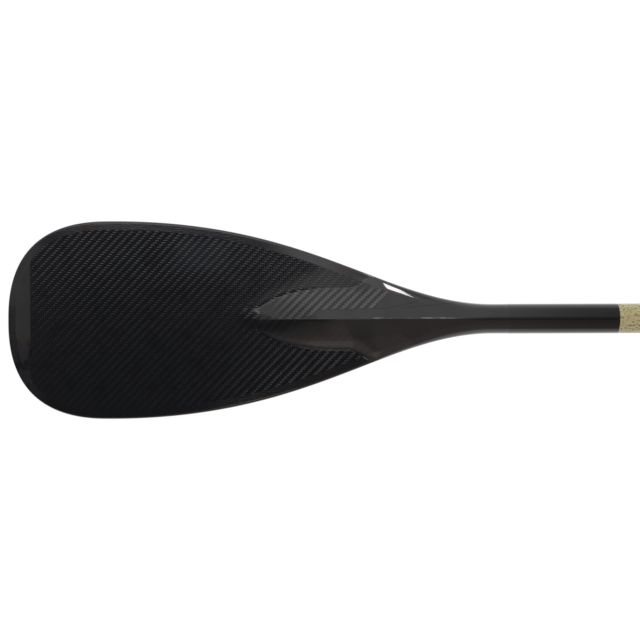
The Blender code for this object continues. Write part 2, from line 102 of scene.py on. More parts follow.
GRIP_CROWN_CLOSE = 0.985

SHAFT_RADIUS = SHAFT_DIAMETER / 2
HALF_WIDTH = BLADE_WIDTH / 2
HALF_PLATE = PLATE_THICKNESS / 2
ROUND_START = BLADE_LENGTH - FERRULE_LENGTH
BEND_RADIUS = BEND_LENGTH / BLADE_CANT
BEND_START = ROUND_START - BEND_LENGTH
NECK_BLEND_END = ROUND_START - NECK_SETTLE
SHAFT_LENGTH = OVERALL_LENGTH - BLADE_LENGTH - GRIP_LENGTH

# Photograph's frame
IMAGE_WIDTH = 640
JOINT_PIXEL_X = 508.0
AXIS_PIXEL_Y = 318.7
IMAGE_CENTRE = 320.0
SHAFT_PIXELS = 29.75
CAMERA_ROLL = radians(-0.19)
FOCAL_PIXELS = 1230.0
SENSOR_WIDTH = 36.0

# Surface fineness: the panel's columns crowd towards the crest
TIP_ROWS = 26
PANEL_ROWS = 210
NECK_ROWS = 80
PANEL_COLUMNS = 88
RIM_COLUMNS = 14
PANEL_CROWDING = 1.4
CURVE_POINTS = 900
SLOPE_STEP = 0.0002
SHAFT_SIDES = 96
LABEL_ROWS = 24
BRAID_ROWS = 220
GRIP_ROWS = 60
GRIP_SIDES = 120
CORE_CUTS = 2
WELD_DISTANCE = 0.000001
# Least divisors, which keep a division by zero away
LEAST_LENGTH = 1e-9
LEAST_AREA = 1e-12


# Where the paddle lies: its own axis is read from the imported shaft
def ring_centres(node):
    """Centres of a straight tube node's two ends."""
    points = np.array([vertex.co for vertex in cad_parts[node].data.vertices])
    middle = (points[:, 0].min() + points[:, 0].max()) / 2
    low = points[points[:, 0] < middle].mean(axis=0)
    high = points[points[:, 0] > middle].mean(axis=0)
    return Vector(low), Vector(high)


def paddle_matrix():
    low, high = ring_centres("shaft_braid")
    along = (high - low).normalized()
    origin = low - along * (LABEL_LENGTH + GAP)
    return Matrix.Translation(origin) @ Matrix.Rotation(atan2(-along.z, along.x), 4, "Y")


PADDLE = paddle_matrix()


def to_world(points):
    turn = np.array(PADDLE.to_3x3())
    return points @ turn.T + np.array(PADDLE.translation)


# The blade's outline and surfaces
def smooth_step(value, low, high):
    part = np.clip((value - low) / (high - low), 0, 1)
    return part * part * (3 - 2 * part)


def bezier(points):
    part = np.linspace(0, 1, CURVE_POINTS)[:, None]
    rest = 1 - part
    p = np.array(points, float)
    return rest ** 3 * p[0] + 3 * rest ** 2 * part * p[1] + 3 * rest * part ** 2 * p[2] + part ** 3 * p[3]


TIP_CURVE = bezier(((0, 0), (0, TIP_FULLNESS * HALF_WIDTH),
                    (WIDEST_AT - TIP_REACH, HALF_WIDTH), (WIDEST_AT, HALF_WIDTH)))
SIDE_CURVE = bezier(((WIDEST_AT, HALF_WIDTH), (WIDEST_AT + SIDE_REACH, HALF_WIDTH),
                     (ROUND_START - NECK_REACH, SHAFT_RADIUS), (ROUND_START, SHAFT_RADIUS)))
TIP_CURVE[:, 0] = np.maximum.accumulate(TIP_CURVE[:, 0])
OUTLINE = np.vstack([TIP_CURVE, SIDE_CURVE[1:]])


def half_width(s):
    return np.interp(s, OUTLINE[:, 0], OUTLINE[:, 1])


def outline_slope(s):
    return (half_width(s + SLOPE_STEP) - half_width(s - SLOPE_STEP)) / (2 * SLOPE_STEP)


def edge_distance(y, s):
    width = half_width(s)
    inside = np.maximum(0, width - np.abs(y))
    behind = np.maximum(0, s - np.interp(np.abs(y), TIP_CURVE[:, 1], TIP_CURVE[:, 0]))
    reach = np.sqrt(inside ** 2 + behind ** 2)
    near_tip = inside * behind / np.maximum(reach, LEAST_LENGTH)
    beside = inside / np.sqrt(1 + outline_slope(s) ** 2)
    return np.where(s < WIDEST_AT, near_tip, beside)


def rail_reach(s):
    reach = RAIL_WIDTH * np.sqrt(1 + outline_slope(s) ** 2)
    return np.minimum(reach, RAIL_LARGEST_SHARE * half_width(s))


def plate_height(y, s):
    inside = edge_distance(y, s)
    slope = RAIL_EDGE + (1 - RAIL_EDGE) * np.minimum(1, inside / RAIL_WIDTH)
    thinning = TIP_THINNING + (1 - TIP_THINNING) * np.minimum(1, s / TIP_BLOCK_LENGTH)
    nose = 1 - np.minimum(1, inside / NOSE_WIDTH)
    return HALF_PLATE * thinning * slope * np.sqrt(1 - nose ** 2)


def spine_half_width(s):
    back = np.clip((SPINE_FULL - s) / (SPINE_FULL - SPINE_NOSE), 0, 1)
    nose = SPINE_HALF_WIDTH * np.sqrt(1 - back ** 2)
    flare = SPINE_FLARE_WIDTH * smooth_step(s, SPINE_FLARE_START, SPINE_FLARE)
    return np.maximum(SPINE_NOSE_WIDTH, nose + flare)


def crest_rise(s):
    """The crest's climb from 0 to 1: easing in, then straight, then easing level."""
    part = np.clip((s - SPINE_START) / (SPINE_TOP - SPINE_START), 0, 1)
    total = (1 + SPINE_EASE_OUT - SPINE_EASE_IN) / 2
    early = part ** 2 / (2 * SPINE_EASE_IN)
    late = total - (1 - part) ** 2 / (2 * (1 - SPINE_EASE_OUT))
    climbed = np.where(part < SPINE_EASE_IN, early, part - SPINE_EASE_IN / 2)
    return np.where(part < SPINE_EASE_OUT, climbed, late) / total


def arch(away, sharpness):
    """A round arch, or with some sharpness an arch with a ridge along its top."""
    round_part = np.sqrt(np.maximum(0, 1 - away ** 2))
    return sharpness * (1 - away) + (1 - sharpness) * round_part


def neck_sharpness(s, spine):
    """The crest's ridge runs out along the neck, on the power face alone."""
    if spine is back_spine:
        return 0.0
    return CREST_SHARPNESS * (1 - smooth_step(s, NECK_START, ROUND_START))


def face_spine(y, s):
    """The ridged arch, folded softly into the flat and rounded off over the rail."""
    away = np.abs(y) / spine_half_width(s)
    foot = arch(FOLD_INNER, CREST_SHARPNESS)
    fall = CREST_SHARPNESS + (1 - CREST_SHARPNESS) * FOLD_INNER / sqrt(1 - FOLD_INNER ** 2)
    fold_outer = FOLD_INNER + 2 * foot / fall
    fold = foot * (np.maximum(0, fold_outer - away) / (fold_outer - FOLD_INNER)) ** 2
    profile = np.where(away < FOLD_INNER, arch(away, CREST_SHARPNESS), fold)
    edge = 1 - np.minimum(1, edge_distance(y, s) / RAIL_WIDTH)
    return CREST_HEIGHT * crest_rise(s) * profile * np.sqrt(1 - edge ** 2)


def back_spine(y, s):
    away = np.minimum(1, np.abs(y) / BACK_HALF_WIDTH)
    rise = smooth_step(s, SPINE_START, BACK_SPINE_TOP)
    return BACK_CREST_HEIGHT * rise * (1 - away ** 2) ** 2


def surface_height(y, s, spine):
    blade = plate_height(y, s) + spine(y, s)
    ratio = np.minimum(1, np.abs(y) / half_width(s))
    neck = SHAFT_RADIUS * arch(ratio, neck_sharpness(s, spine))
    blend = smooth_step(s, NECK_BLEND_START, NECK_BLEND_END)
    return (1 - blend) * blade + blend * neck


def blade_points(s, y, rise):
    bend = np.clip((ROUND_START - s) / BEND_RADIUS, 0, BLADE_CANT)
    straight = np.maximum(0, BEND_START - s)
    ferrule = np.maximum(0, s - ROUND_START)
    x = ferrule - FERRULE_LENGTH - BEND_RADIUS * np.sin(bend)
    x = x - straight * np.cos(bend) - rise * np.sin(bend)
    z = -BEND_RADIUS * (1 - np.cos(bend)) - straight * np.sin(bend) + rise * np.cos(bend)
    return np.stack([x, y + 0 * x, z], axis=-1)


# One fine skin over the whole blade and neck, as rows along it and columns round it
def blade_stations():
    tip = TIP_BLOCK_LENGTH * (np.arange(1, TIP_ROWS + 1) / TIP_ROWS) ** 2
    panel = np.linspace(TIP_BLOCK_LENGTH, NECK_START, PANEL_ROWS)[1:]
    neck = np.linspace(NECK_START, BLADE_LENGTH, NECK_ROWS)[1:]
    return np.concatenate([tip, panel, neck])


def column_parts():
    """Places from the left edge to the right edge: each rim, then the panel between."""
    rim = np.sin(np.linspace(0, pi / 2, RIM_COLUMNS + 1)) ** 2
    panel = np.linspace(1, -1, PANEL_COLUMNS + 1)
    panel = np.sign(panel) * np.abs(panel) ** PANEL_CROWDING
    return rim, panel


def row_across(s):
    rim, panel = column_parts()
    width = half_width(s)
    reach = rail_reach(s)
    inner = width - reach
    left = width - reach * rim
    middle = inner * panel[1:-1]
    right = -(width - reach * rim[::-1])
    return np.concatenate([left, middle, right])


def blade_skin():
    """The stations, with each one's loop of points, cloth and rim coordinates, and normals."""
    stations = blade_stations()
    loops, cloth, rims = [], [], []
    for s in stations:
        across = row_across(s)
        top = surface_height(across, s, face_spine)
        under = across[-2:0:-1]
        low = -surface_height(under, s, back_spine)
        y = np.concatenate([across, under])
        rise = np.concatenate([top, low])
        rise[0] = 0.0
        rise[len(across) - 1] = 0.0
        loops.append(blade_points(np.full_like(y, s), y, rise))
        cloth.append(np.stack([np.full_like(y, s), y], axis=-1))
        rims.append(np.stack([edge_distance(y, s), np.full_like(y, s)], axis=-1))
    points = to_world(np.array(loops))
    return stations, points, np.array(cloth), np.array(rims), loop_normals(points)


def loop_normals(points):
    """Normals of closed loops from the points on either side."""
    round_loop = np.roll(points, -1, axis=1) - np.roll(points, 1, axis=1)
    along = np.gradient(points, axis=0)
    normals = np.cross(round_loop, along)
    length = np.linalg.norm(normals, axis=-1, keepdims=True)
    return normals / np.maximum(length, LEAST_AREA)


def grid_faces(rows, columns, closed=False):
    count = columns if closed else columns - 1
    faces = []
    for row in range(rows - 1):
        for column in range(count):
            after = (column + 1) % columns
            first = row * columns
            second = first + columns
            faces.append((first + column, first + after, second + after, second + column))
    return faces


def add_map(mesh, name, spots):
    """A UV map that gives each corner its point's pair of numbers."""
    layer = mesh.uv_layers.new(name=name)
    corners = np.empty(len(mesh.loops), int)
    mesh.loops.foreach_get("vertex_index", corners)
    layer.data.foreach_set("uv", spots.reshape(-1, 2)[corners].astype(np.float32).ravel())


def make_piece(name, points, normals, faces, cloth, caps=(), rim=None):
    """A smooth piece from a grid of points, with cloth and perhaps rim coordinates as UV maps."""
    mesh = bpy.data.meshes.new(name)
    flat = points.reshape(-1, 3)
    mesh.from_pydata(flat.tolist(), [], faces + list(caps))
    mesh.update()
    mesh.polygons.foreach_set("use_smooth", [True] * len(mesh.polygons))
    add_map(mesh, "cloth", cloth)
    if rim is not None:
        add_map(mesh, "rim", rim)
    mesh.normals_split_custom_set_from_vertices(normals.reshape(-1, 3).tolist())
    item = bpy.data.objects.new(name, mesh)
    bpy.context.scene.collection.objects.link(item)
    return item


def add_piece(item, material, slot, *nodes):
    item.data.materials.append(material)
    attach(item, "root")
    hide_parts(*nodes)


# Material building: the mix node's sockets are its factor and two numbers or two colours
MIX_NUMBERS = (0, 2, 3)
MIX_COLOURS = (0, 6, 7)
MIXED_NUMBER = 0
MIXED_COLOUR = 2


def new_material(name):
    material = bpy.data.materials.new(name)
    material.use_nodes = True
    tree = material.node_tree
    return material, tree, tree.nodes["Principled BSDF"]


def math_node(tree, operation, first, second=None, third=None):
    node = tree.nodes.new("ShaderNodeMath")
    node.operation = operation
    for index, value in enumerate((first, second, third)):
        if value is None:
            continue
        if isinstance(value, (int, float)):
            node.inputs[index].default_value = value
        else:
            tree.links.new(value, node.inputs[index])
    return node.outputs[0]


def product(tree, first, *others):
    for other in others:
        first = math_node(tree, "MULTIPLY", first, other)
    return first


def mix_colour(tree, factor, first, second):
    node = tree.nodes.new("ShaderNodeMix")
    node.data_type = "RGBA"
    for index, value in zip(MIX_COLOURS, (factor, first, second)):
        socket = node.inputs[index]
        if isinstance(value, (int, float)):
            socket.default_value = value
        elif isinstance(value, tuple):
            socket.default_value = (*value, 1)
        else:
            tree.links.new(value, socket)
    return node.outputs[MIXED_COLOUR]


def noise(tree, vector, scale, detail):
    node = tree.nodes.new("ShaderNodeTexNoise")
    node.inputs["Scale"].default_value = scale
    node.inputs["Detail"].default_value = detail
    tree.links.new(vector, node.inputs["Vector"])
    return node.outputs["Fac"]


def stretched_noise(tree, vector, stretch, detail):
    node = tree.nodes.new("ShaderNodeMapping")
    node.inputs["Scale"].default_value = stretch
    tree.links.new(vector, node.inputs["Vector"])
    return noise(tree, node.outputs[0], 1.0, detail)


def ramp(tree, value, low, high, low_out=0.0, high_out=1.0):
    node = tree.nodes.new("ShaderNodeMapRange")
    node.interpolation_type = "SMOOTHSTEP"
    for index, number in enumerate((value, low, high, low_out, high_out)):
        if isinstance(number, (int, float)):
            node.inputs[index].default_value = number
        else:
            tree.links.new(number, node.inputs[index])
    return node.outputs[0]


def overlap(tree, *parts):
    """Where several ramps meet, each given as a value with the two ends of its change."""
    return product(tree, *[ramp(tree, value, *ends) for value, ends in parts])


def object_vector(tree):
    node = tree.nodes.new("ShaderNodeTexCoord")
    return node.outputs["Object"]


def uv_vector(tree, name):
    node = tree.nodes.new("ShaderNodeUVMap")
    node.uv_map = name
    return node.outputs[0]


def split_axes(tree, vector):
    node = tree.nodes.new("ShaderNodeSeparateXYZ")
    tree.links.new(vector, node.inputs[0])
    return node.outputs


def in_threads(tree, vector, thread):
    """Places along and across the cloth, counted in threads."""
    along, across, _ = split_axes(tree, vector)
    return math_node(tree, "DIVIDE", along, thread), math_node(tree, "DIVIDE", across, thread)


def cloth_axes(tree, thread):
    """Cloth coordinates, and the places along and across counted in threads."""
    vector = uv_vector(tree, "cloth")
    return (vector, *in_threads(tree, vector, thread))


def paint(tree, shader, colour, roughness, metallic=0.0):
    tree.links.new(colour, shader.inputs["Base Color"])
    shader.inputs["Roughness"].default_value = roughness
    shader.inputs["Metallic"].default_value = metallic


def add_bump(tree, shader, height, distance, strength=1.0):
    node = tree.nodes.new("ShaderNodeBump")
    node.inputs["Strength"].default_value = strength
    node.inputs["Distance"].default_value = distance
    tree.links.new(height, node.inputs["Height"])
    tree.links.new(node.outputs[0], shader.inputs["Normal"])


def clear_coat(shader, roughness):
    shader.inputs["Coat Weight"].default_value = 1.0
    shader.inputs["Coat Roughness"].default_value = roughness
    shader.inputs["Coat IOR"].default_value = COAT_IOR


def twill(tree, along, across, cross_share=1.0):
    """2x2 twill: which thread family shows, and how high each float stands."""
    column = math_node(tree, "FLOOR", along)
    row = math_node(tree, "FLOOR", across)
    in_column = math_node(tree, "FRACT", along)
    in_row = math_node(tree, "FRACT", across)
    step = math_node(tree, "FLOORED_MODULO", math_node(tree, "SUBTRACT", column, row), TWILL_REPEAT)
    lengthwise = math_node(tree, "LESS_THAN", step, FLOAT_LENGTH - 0.5)
    first_run = math_node(tree, "DIVIDE", math_node(tree, "ADD", step, in_column), FLOAT_LENGTH)
    reverse = math_node(tree, "SUBTRACT", TWILL_REPEAT - 1.0, step)
    second_run = math_node(tree, "DIVIDE", math_node(tree, "ADD", reverse, in_row), FLOAT_LENGTH)
    run = pick(tree, lengthwise, second_run, first_run)
    side = pick(tree, lengthwise, in_column, in_row)
    swerve = math_node(tree, "ABSOLUTE", math_node(tree, "MULTIPLY_ADD", side, 2.0, -1.0))
    crown = math_node(tree, "SUBTRACT", 1.0, math_node(tree, "POWER", swerve, CROWN_POWER))
    inner = parabola(tree, run)
    ends = math_node(tree, "POWER", math_node(tree, "SUBTRACT", 1.0, inner), FLOAT_END_POWER)
    twist = math_node(tree, "MULTIPLY_ADD", run, -FLOAT_TWIST, 1.0 + FLOAT_TWIST / 3)
    rise = product(tree, twist, math_node(tree, "SUBTRACT", 1.0, ends))
    share = math_node(tree, "MULTIPLY_ADD", lengthwise, 1.0 - cross_share, cross_share)
    return lengthwise, product(tree, crown, rise, share)


def pick(tree, factor, first, second):
    """The first number where the factor is 0, and the second where it is 1."""
    node = tree.nodes.new("ShaderNodeMix")
    for index, value in zip(MIX_NUMBERS, (factor, first, second)):
        tree.links.new(value, node.inputs[index])
    return node.outputs[MIXED_NUMBER]


def parabola(tree, part):
    """0 at both ends of a run and 1 in its middle."""
    rest = math_node(tree, "SUBTRACT", 1.0, part)
    return product(tree, part, rest, 4.0)


# Material settings. A noise is given as its scale and detail, a relief as its depth and
# strength, or its depth alone, and a range as the two ends of a smooth change, followed by its
# results where they aren't 0 and 1
COAT_IOR = 1.40
COAT_ROUGHNESS = 0.03
GLOSS_ROUGHNESS = 0.11
GLOSS_RELIEF = (0.00004, 0.6)

# 2x2 twill: each float passes over two threads, in a repeat of four
TWILL_REPEAT = 4.0
FLOAT_LENGTH = 2.0
FLOAT_END_POWER = 3.0
FLOAT_TWIST = 0.25
CROWN_POWER = 1.3
TWILL_THREAD = 0.00205
TWILL_CROWN = 0.000082
CROSS_SHARE = 0.4
LENGTHWISE_TONE = (0.044, 0.044, 0.044)
CROSSWISE_TONE = (0.034, 0.034, 0.035)
TWILL_CLOUDS = (60.0, 3.0)
TWILL_CLOUD_RANGE = (0.45, 0.75)
TWILL_CLOUD_SHADE = 0.8

# Painted sheen: on the spine's left flank, which faces the light, the lengthwise threads are painted
# lighter and the crosswise threads darker
FLANK_START = (0.250, 0.272)
FLANK_EDGE = (0.030, 0.025)
FLANK_CREST = (0.0, 0.001)
FLANK_SHEEN_LENGTHWISE_TONE = (0.067, 0.065, 0.066)
FLANK_SHEEN_CROSSWISE_TONE = (0.018, 0.0175, 0.018)
# Right of the crest, from the spine's nose on, a thin veiled band half covers the weave's tone with a
# warm brown painted reflection and half flattens its relief
VEIL_START = (0.262, 0.275)
VEIL_EDGE = (-0.027, -0.025)
VEIL_CREST = (0.0, -0.002)
VEIL_SHARE = 0.55
VEIL_REFLECTION_TONE = (0.042, 0.037, 0.034)

SPINE_PLY_TONE = (0.026, 0.0255, 0.0255)
SPINE_PLY_STREAKS = 0.4
SPINE_PLY_EDGE = 0.0004
PLY_FIBRE_SHARE = 0.3
# Each edge of the spine's ply: places along the blade where its slope changes, and by how much
SPINE_PLY_LEFT = ((0.284, 0.45), (0.303, -0.43), (0.352, 1.25))
SPINE_PLY_RIGHT = ((0.277, 0.12), (0.325, 1.6), (0.333, -1.9), (0.373, 0.9))
INNER_PLY_EDGES = (((0.284, 0.45), (0.303, -0.43), (0.362, 0.18), (0.381, 0.15)),
                   ((0.2695, 0.093),))
INNER_PLY_SHOWS_FROM = (0.300, 0.372)
PLY_LINE_TONE = (0.010, 0.010, 0.011)
PLY_LINE_EDGE = (0.0006, 0.0002)
PLY_LINE_EASE = 0.012
PLY_LINE_SHARE = 0.7
# Pale broken dashes along the crest's top
CREST_DASH_TONE = (0.16, 0.155, 0.155)
CREST_DASH_OFFSET = 0.0009
CREST_DASH_EDGE = (0.0007, 0.0002)
CREST_DASH_STRETCH = (90.0, 500.0, 1.0)
CREST_DASH_DETAIL = 3.0
CREST_DASH_RANGE = (0.50, 0.62)
CREST_DASH_START = (0.340, 0.360)
CREST_DASH_END = (0.430, 0.415)

EDGE_TONE = (0.036, 0.036, 0.038)
EDGE_STREAKS = 0.1
# Painted highlight: a thin broken pale brown line along the blade's very rim
RIM_HIGHLIGHT_TONE = (0.11, 0.055, 0.030)
RIM_HIGHLIGHT_EDGE = (0.0009, 0.0002)
RIM_HIGHLIGHT_BREAKS = (420.0, 2.0)
RIM_HIGHLIGHT_BREAK_RANGE = (0.35, 0.60, 0.35, 1.0)
RESIN_WARM_TONE = (0.046, 0.034, 0.030)
RESIN_MOTTLE = (38.0, 3.0)
RESIN_MOTTLE_RANGE = (0.50, 0.68, 0.0, 0.75)
# Painted reflections: dark patches on the tip block's right half
TIP_REFLECTION_TONE = (0.012, 0.012, 0.014)
TIP_REFLECTION_STRETCH = (120.0, 60.0, 1.0)
TIP_REFLECTION_DETAIL = 2.0
TIP_REFLECTION_RANGE = (0.52, 0.60)
TIP_REFLECTION_SIDE = (-0.016, -0.021)

CLOUDS = (45.0, 3.0)
CLOUD_RANGE = (0.3, 0.7)
CLOUD_LIGHTENING = 1.25
FIBRE_STRETCH = (6.0, 900.0, 900.0)
FIBRE_DETAIL = 2.0
ONE_WAY_TONE = (0.020, 0.020, 0.021)
ONE_WAY_STREAKS = 0.8

BRAID_THREAD = 0.0014
BRAID_ANGLE = radians(45)
BRAID_FLOOR = (0.0, 0.45)
BRAID_RELIEF = 0.00010
BRAID_ROUGHNESS = 0.45
BRAID_COAT_ROUGHNESS = 0.05
ARAMID_TONE = (0.56, 0.475, 0.215)
ARAMID_SECOND_SHARE = 0.82
ARAMID_DARK = (0.20, 0.17, 0.08)
FLECK_TONE = (0.075, 0.085, 0.045)
FLECKS = (420.0, 2.0)
FLECK_RANGE = (0.50, 0.62)
FLECK_SHARE = 0.8
DRIFT = (40.0, 2.0)
DRIFT_SHARE = 0.35

LABEL_TONES = ((0.0085, 0.0082, 0.0082), (0.015, 0.0143, 0.0143))
LABEL_CLOUDS = (70.0, 3.0)
# Painted shade: the label's tone runs on from the neck's and darkens along it
LABEL_SHADE_RANGE = (-0.010, 0.078)
LABEL_STRETCH = (60.0, 240.0, 240.0)
LABEL_DETAIL = 2.0
LABEL_RELIEF = (0.00002, 0.5)
LABEL_ROUGHNESS = 0.15
LABEL_COAT_ROUGHNESS = 0.04

FOAM = {
    "grain": (1400.0, 3.0), "dark": (0.66, 0.61, 0.47), "light": (0.86, 0.82, 0.70),
    "roughness": 0.85, "relief": 0.0003,
}
ADHESIVE = {
    "grain": (220.0, 2.0), "dark": (0.60, 0.42, 0.16), "light": (0.80, 0.64, 0.34),
    "roughness": 0.40, "relief": 0.0004,
}


# Materials
def carbon_twill(name, spine_ply):
    """Carbon cloth under clear gloss, with the spine's own plies over it where asked for."""
    material, tree, shader = new_material(name)
    vector, along, across = cloth_axes(tree, TWILL_THREAD)
    lengthwise, height = twill(tree, along, across, CROSS_SHARE)
    tone = mix_colour(tree, lengthwise, CROSSWISE_TONE, LENGTHWISE_TONE)
    clouds = ramp(tree, noise(tree, vector, *TWILL_CLOUDS), *TWILL_CLOUD_RANGE)
    darker = tuple(part * TWILL_CLOUD_SHADE for part in CROSSWISE_TONE)
    tone = mix_colour(tree, clouds, tone, darker)
    if spine_ply:
        tone, height = spine_plies(tree, lengthwise, tone, height)
    paint(tree, shader, tone, GLOSS_ROUGHNESS, 1.0)
    add_bump(tree, shader, height, TWILL_CROWN)
    clear_coat(shader, COAT_ROUGHNESS)
    return material


def spine_plies(tree, lengthwise, tone, height):
    """The weave's tone and relief with the painted sheen on the left flank, the veiled band with its
    painted reflection, and the smooth ply.
    """
    # Painted sheen: the left flank, which faces the light, gets lighter lengthwise and darker crosswise
    # threads
    sheen_tows = mix_colour(tree, lengthwise, FLANK_SHEEN_CROSSWISE_TONE, FLANK_SHEEN_LENGTHWISE_TONE)
    tone = mix_colour(tree, sheen_flank_mask(tree), tone, sheen_tows)
    # The veiled band right of the crest: its warm brown tone is a painted reflection, and it flattens the
    # weave's relief
    veil_and_reflection = veil_and_reflection_mask(tree)
    tone = mix_colour(tree, veil_and_reflection, tone, VEIL_REFLECTION_TONE)
    height = product(tree, height, math_node(tree, "SUBTRACT", 1.0, veil_and_reflection))
    cover = spine_ply_mask(tree)
    ply, fibres = cloudy_tone(tree, SPINE_PLY_TONE, SPINE_PLY_STREAKS)
    tone = crest_marks(tree, mix_colour(tree, cover, tone, ply))
    height = product(tree, height, math_node(tree, "SUBTRACT", 1.0, cover))
    fibres = product(tree, fibres, product(tree, cover, PLY_FIBRE_SHARE))
    return tone, math_node(tree, "ADD", height, fibres)


def bent_line(tree, along, bends):
    """A line of straight runs: from each place on, its slope is changed by the amount given."""
    total = 0.0
    for start, slope in bends:
        beyond = math_node(tree, "MAXIMUM", math_node(tree, "SUBTRACT", along, start), 0.0)
        total = math_node(tree, "MULTIPLY_ADD", beyond, slope, total)
    return total


def spine_ply_mask(tree):
    """A smooth one-way ply that runs out along the crest from the neck in a long wedge."""
    _, along, across = cloth_axes(tree, 1.0)
    left = math_node(tree, "GREATER_THAN", across, 0.0)
    edge_left = bent_line(tree, along, SPINE_PLY_LEFT)
    edge_right = bent_line(tree, along, SPINE_PLY_RIGHT)
    edge = pick(tree, left, edge_right, edge_left)
    inside = math_node(tree, "SUBTRACT", edge, math_node(tree, "ABSOLUTE", across))
    return ramp(tree, inside, -SPINE_PLY_EDGE, SPINE_PLY_EDGE)


def sheen_flank_mask(tree):
    """The spine's left flank, where the painted sheen goes."""
    _, along, across = cloth_axes(tree, 1.0)
    return overlap(tree, (across, FLANK_EDGE), (across, FLANK_CREST), (along, FLANK_START))


def veil_and_reflection_mask(tree):
    """How far the veiled band right of the crest flattens the weave and lays its painted reflection over
    it.
    """
    _, along, across = cloth_axes(tree, 1.0)
    cover = overlap(tree, (across, VEIL_EDGE), (across, VEIL_CREST), (along, VEIL_START))
    return product(tree, cover, VEIL_SHARE)


def crest_marks(tree, colour):
    """Edges of inner plies that show through beside the crest, and pale broken dashes along its top."""
    vector, along, across = cloth_axes(tree, 1.0)
    for bends, start in zip(INNER_PLY_EDGES, INNER_PLY_SHOWS_FROM):
        away = math_node(tree, "SUBTRACT", across, bent_line(tree, along, bends))
        line = ramp(tree, math_node(tree, "ABSOLUTE", away), *PLY_LINE_EDGE)
        shown = ramp(tree, along, start, start + PLY_LINE_EASE, 0.0, PLY_LINE_SHARE)
        colour = mix_colour(tree, product(tree, line, shown), colour, PLY_LINE_TONE)
    away = math_node(tree, "ABSOLUTE", math_node(tree, "SUBTRACT", across, CREST_DASH_OFFSET))
    pale_marks = stretched_noise(tree, vector, CREST_DASH_STRETCH, CREST_DASH_DETAIL)
    crest_dashes = overlap(tree, (pale_marks, CREST_DASH_RANGE), (away, CREST_DASH_EDGE),
                    (along, CREST_DASH_START), (along, CREST_DASH_END))
    return mix_colour(tree, crest_dashes, colour, CREST_DASH_TONE)


def rim_mottle_and_highlight(tree, colour):
    """Warm mottled resin inside the blade's edge, with a painted highlight: a thin broken pale brown line
    at its very rim.
    """
    inside = split_axes(tree, uv_vector(tree, "rim"))[0]
    mottle = ramp(tree, noise(tree, object_vector(tree), *RESIN_MOTTLE), *RESIN_MOTTLE_RANGE)
    colour = mix_colour(tree, mottle, colour, RESIN_WARM_TONE)
    # Painted highlight along the very rim, broken up by noise
    highlight_breaks = ramp(tree, noise(tree, object_vector(tree), *RIM_HIGHLIGHT_BREAKS), *RIM_HIGHLIGHT_BREAK_RANGE)
    pale_marks = product(tree, highlight_breaks, ramp(tree, inside, *RIM_HIGHLIGHT_EDGE))
    return mix_colour(tree, pale_marks, colour, RIM_HIGHLIGHT_TONE)


def tip_dark_reflections(tree, colour):
    """Painted reflections: dark patches on the tip block, on the right half of the blade."""
    vector, _, across = cloth_axes(tree, 1.0)
    reflection_patches = stretched_noise(tree, vector, TIP_REFLECTION_STRETCH, TIP_REFLECTION_DETAIL)
    spots = overlap(tree, (reflection_patches, TIP_REFLECTION_RANGE), (across, TIP_REFLECTION_SIDE))
    return mix_colour(tree, spots, colour, TIP_REFLECTION_TONE)


def cloudy_tone(tree, tone, streaks):
    """A tone with faint clouds and fine one-way fibres, and the fibres for use as relief."""
    vector = object_vector(tree)
    clouds = ramp(tree, noise(tree, vector, *CLOUDS), *CLOUD_RANGE)
    fibres = stretched_noise(tree, vector, FIBRE_STRETCH, FIBRE_DETAIL)
    lighter = tuple(part * CLOUD_LIGHTENING for part in tone)
    colour = mix_colour(tree, clouds, tone, lighter)
    return mix_colour(tree, product(tree, fibres, streaks), colour, lighter), fibres


def gloss_black(name, tone, streaks, *marks):
    """Plain black under clear gloss, with faint cloudy tone and fine one-way fibres."""
    material, tree, shader = new_material(name)
    colour, fibres = cloudy_tone(tree, tone, streaks)
    for add_marks in marks:
        colour = add_marks(tree, colour)
    paint(tree, shader, colour, GLOSS_ROUGHNESS, 1.0)
    add_bump(tree, shader, fibres, *GLOSS_RELIEF)
    clear_coat(shader, COAT_ROUGHNESS)
    return material


def aramid_braid(name):
    """Olive bias braid: two families of flat threads at an angle, with darker flecks."""
    material, tree, shader = new_material(name)
    vector = uv_vector(tree, "cloth")
    turn = tree.nodes.new("ShaderNodeMapping")
    turn.inputs["Rotation"].default_value = (0, 0, BRAID_ANGLE)
    tree.links.new(vector, turn.inputs["Vector"])
    along, across = in_threads(tree, turn.outputs[0], BRAID_THREAD)
    family, height = twill(tree, along, across)
    second = tuple(part * ARAMID_SECOND_SHARE for part in ARAMID_TONE)
    threads = mix_colour(tree, family, ARAMID_TONE, second)
    colour = mix_colour(tree, ramp(tree, height, *BRAID_FLOOR), ARAMID_DARK, threads)
    flecks = ramp(tree, noise(tree, vector, *FLECKS), *FLECK_RANGE)
    colour = mix_colour(tree, product(tree, flecks, FLECK_SHARE), colour, FLECK_TONE)
    drift = product(tree, noise(tree, vector, *DRIFT), DRIFT_SHARE)
    colour = mix_colour(tree, drift, colour, ARAMID_DARK)
    paint(tree, shader, colour, BRAID_ROUGHNESS)
    add_bump(tree, shader, height, BRAID_RELIEF)
    clear_coat(shader, BRAID_COAT_ROUGHNESS)
    return material


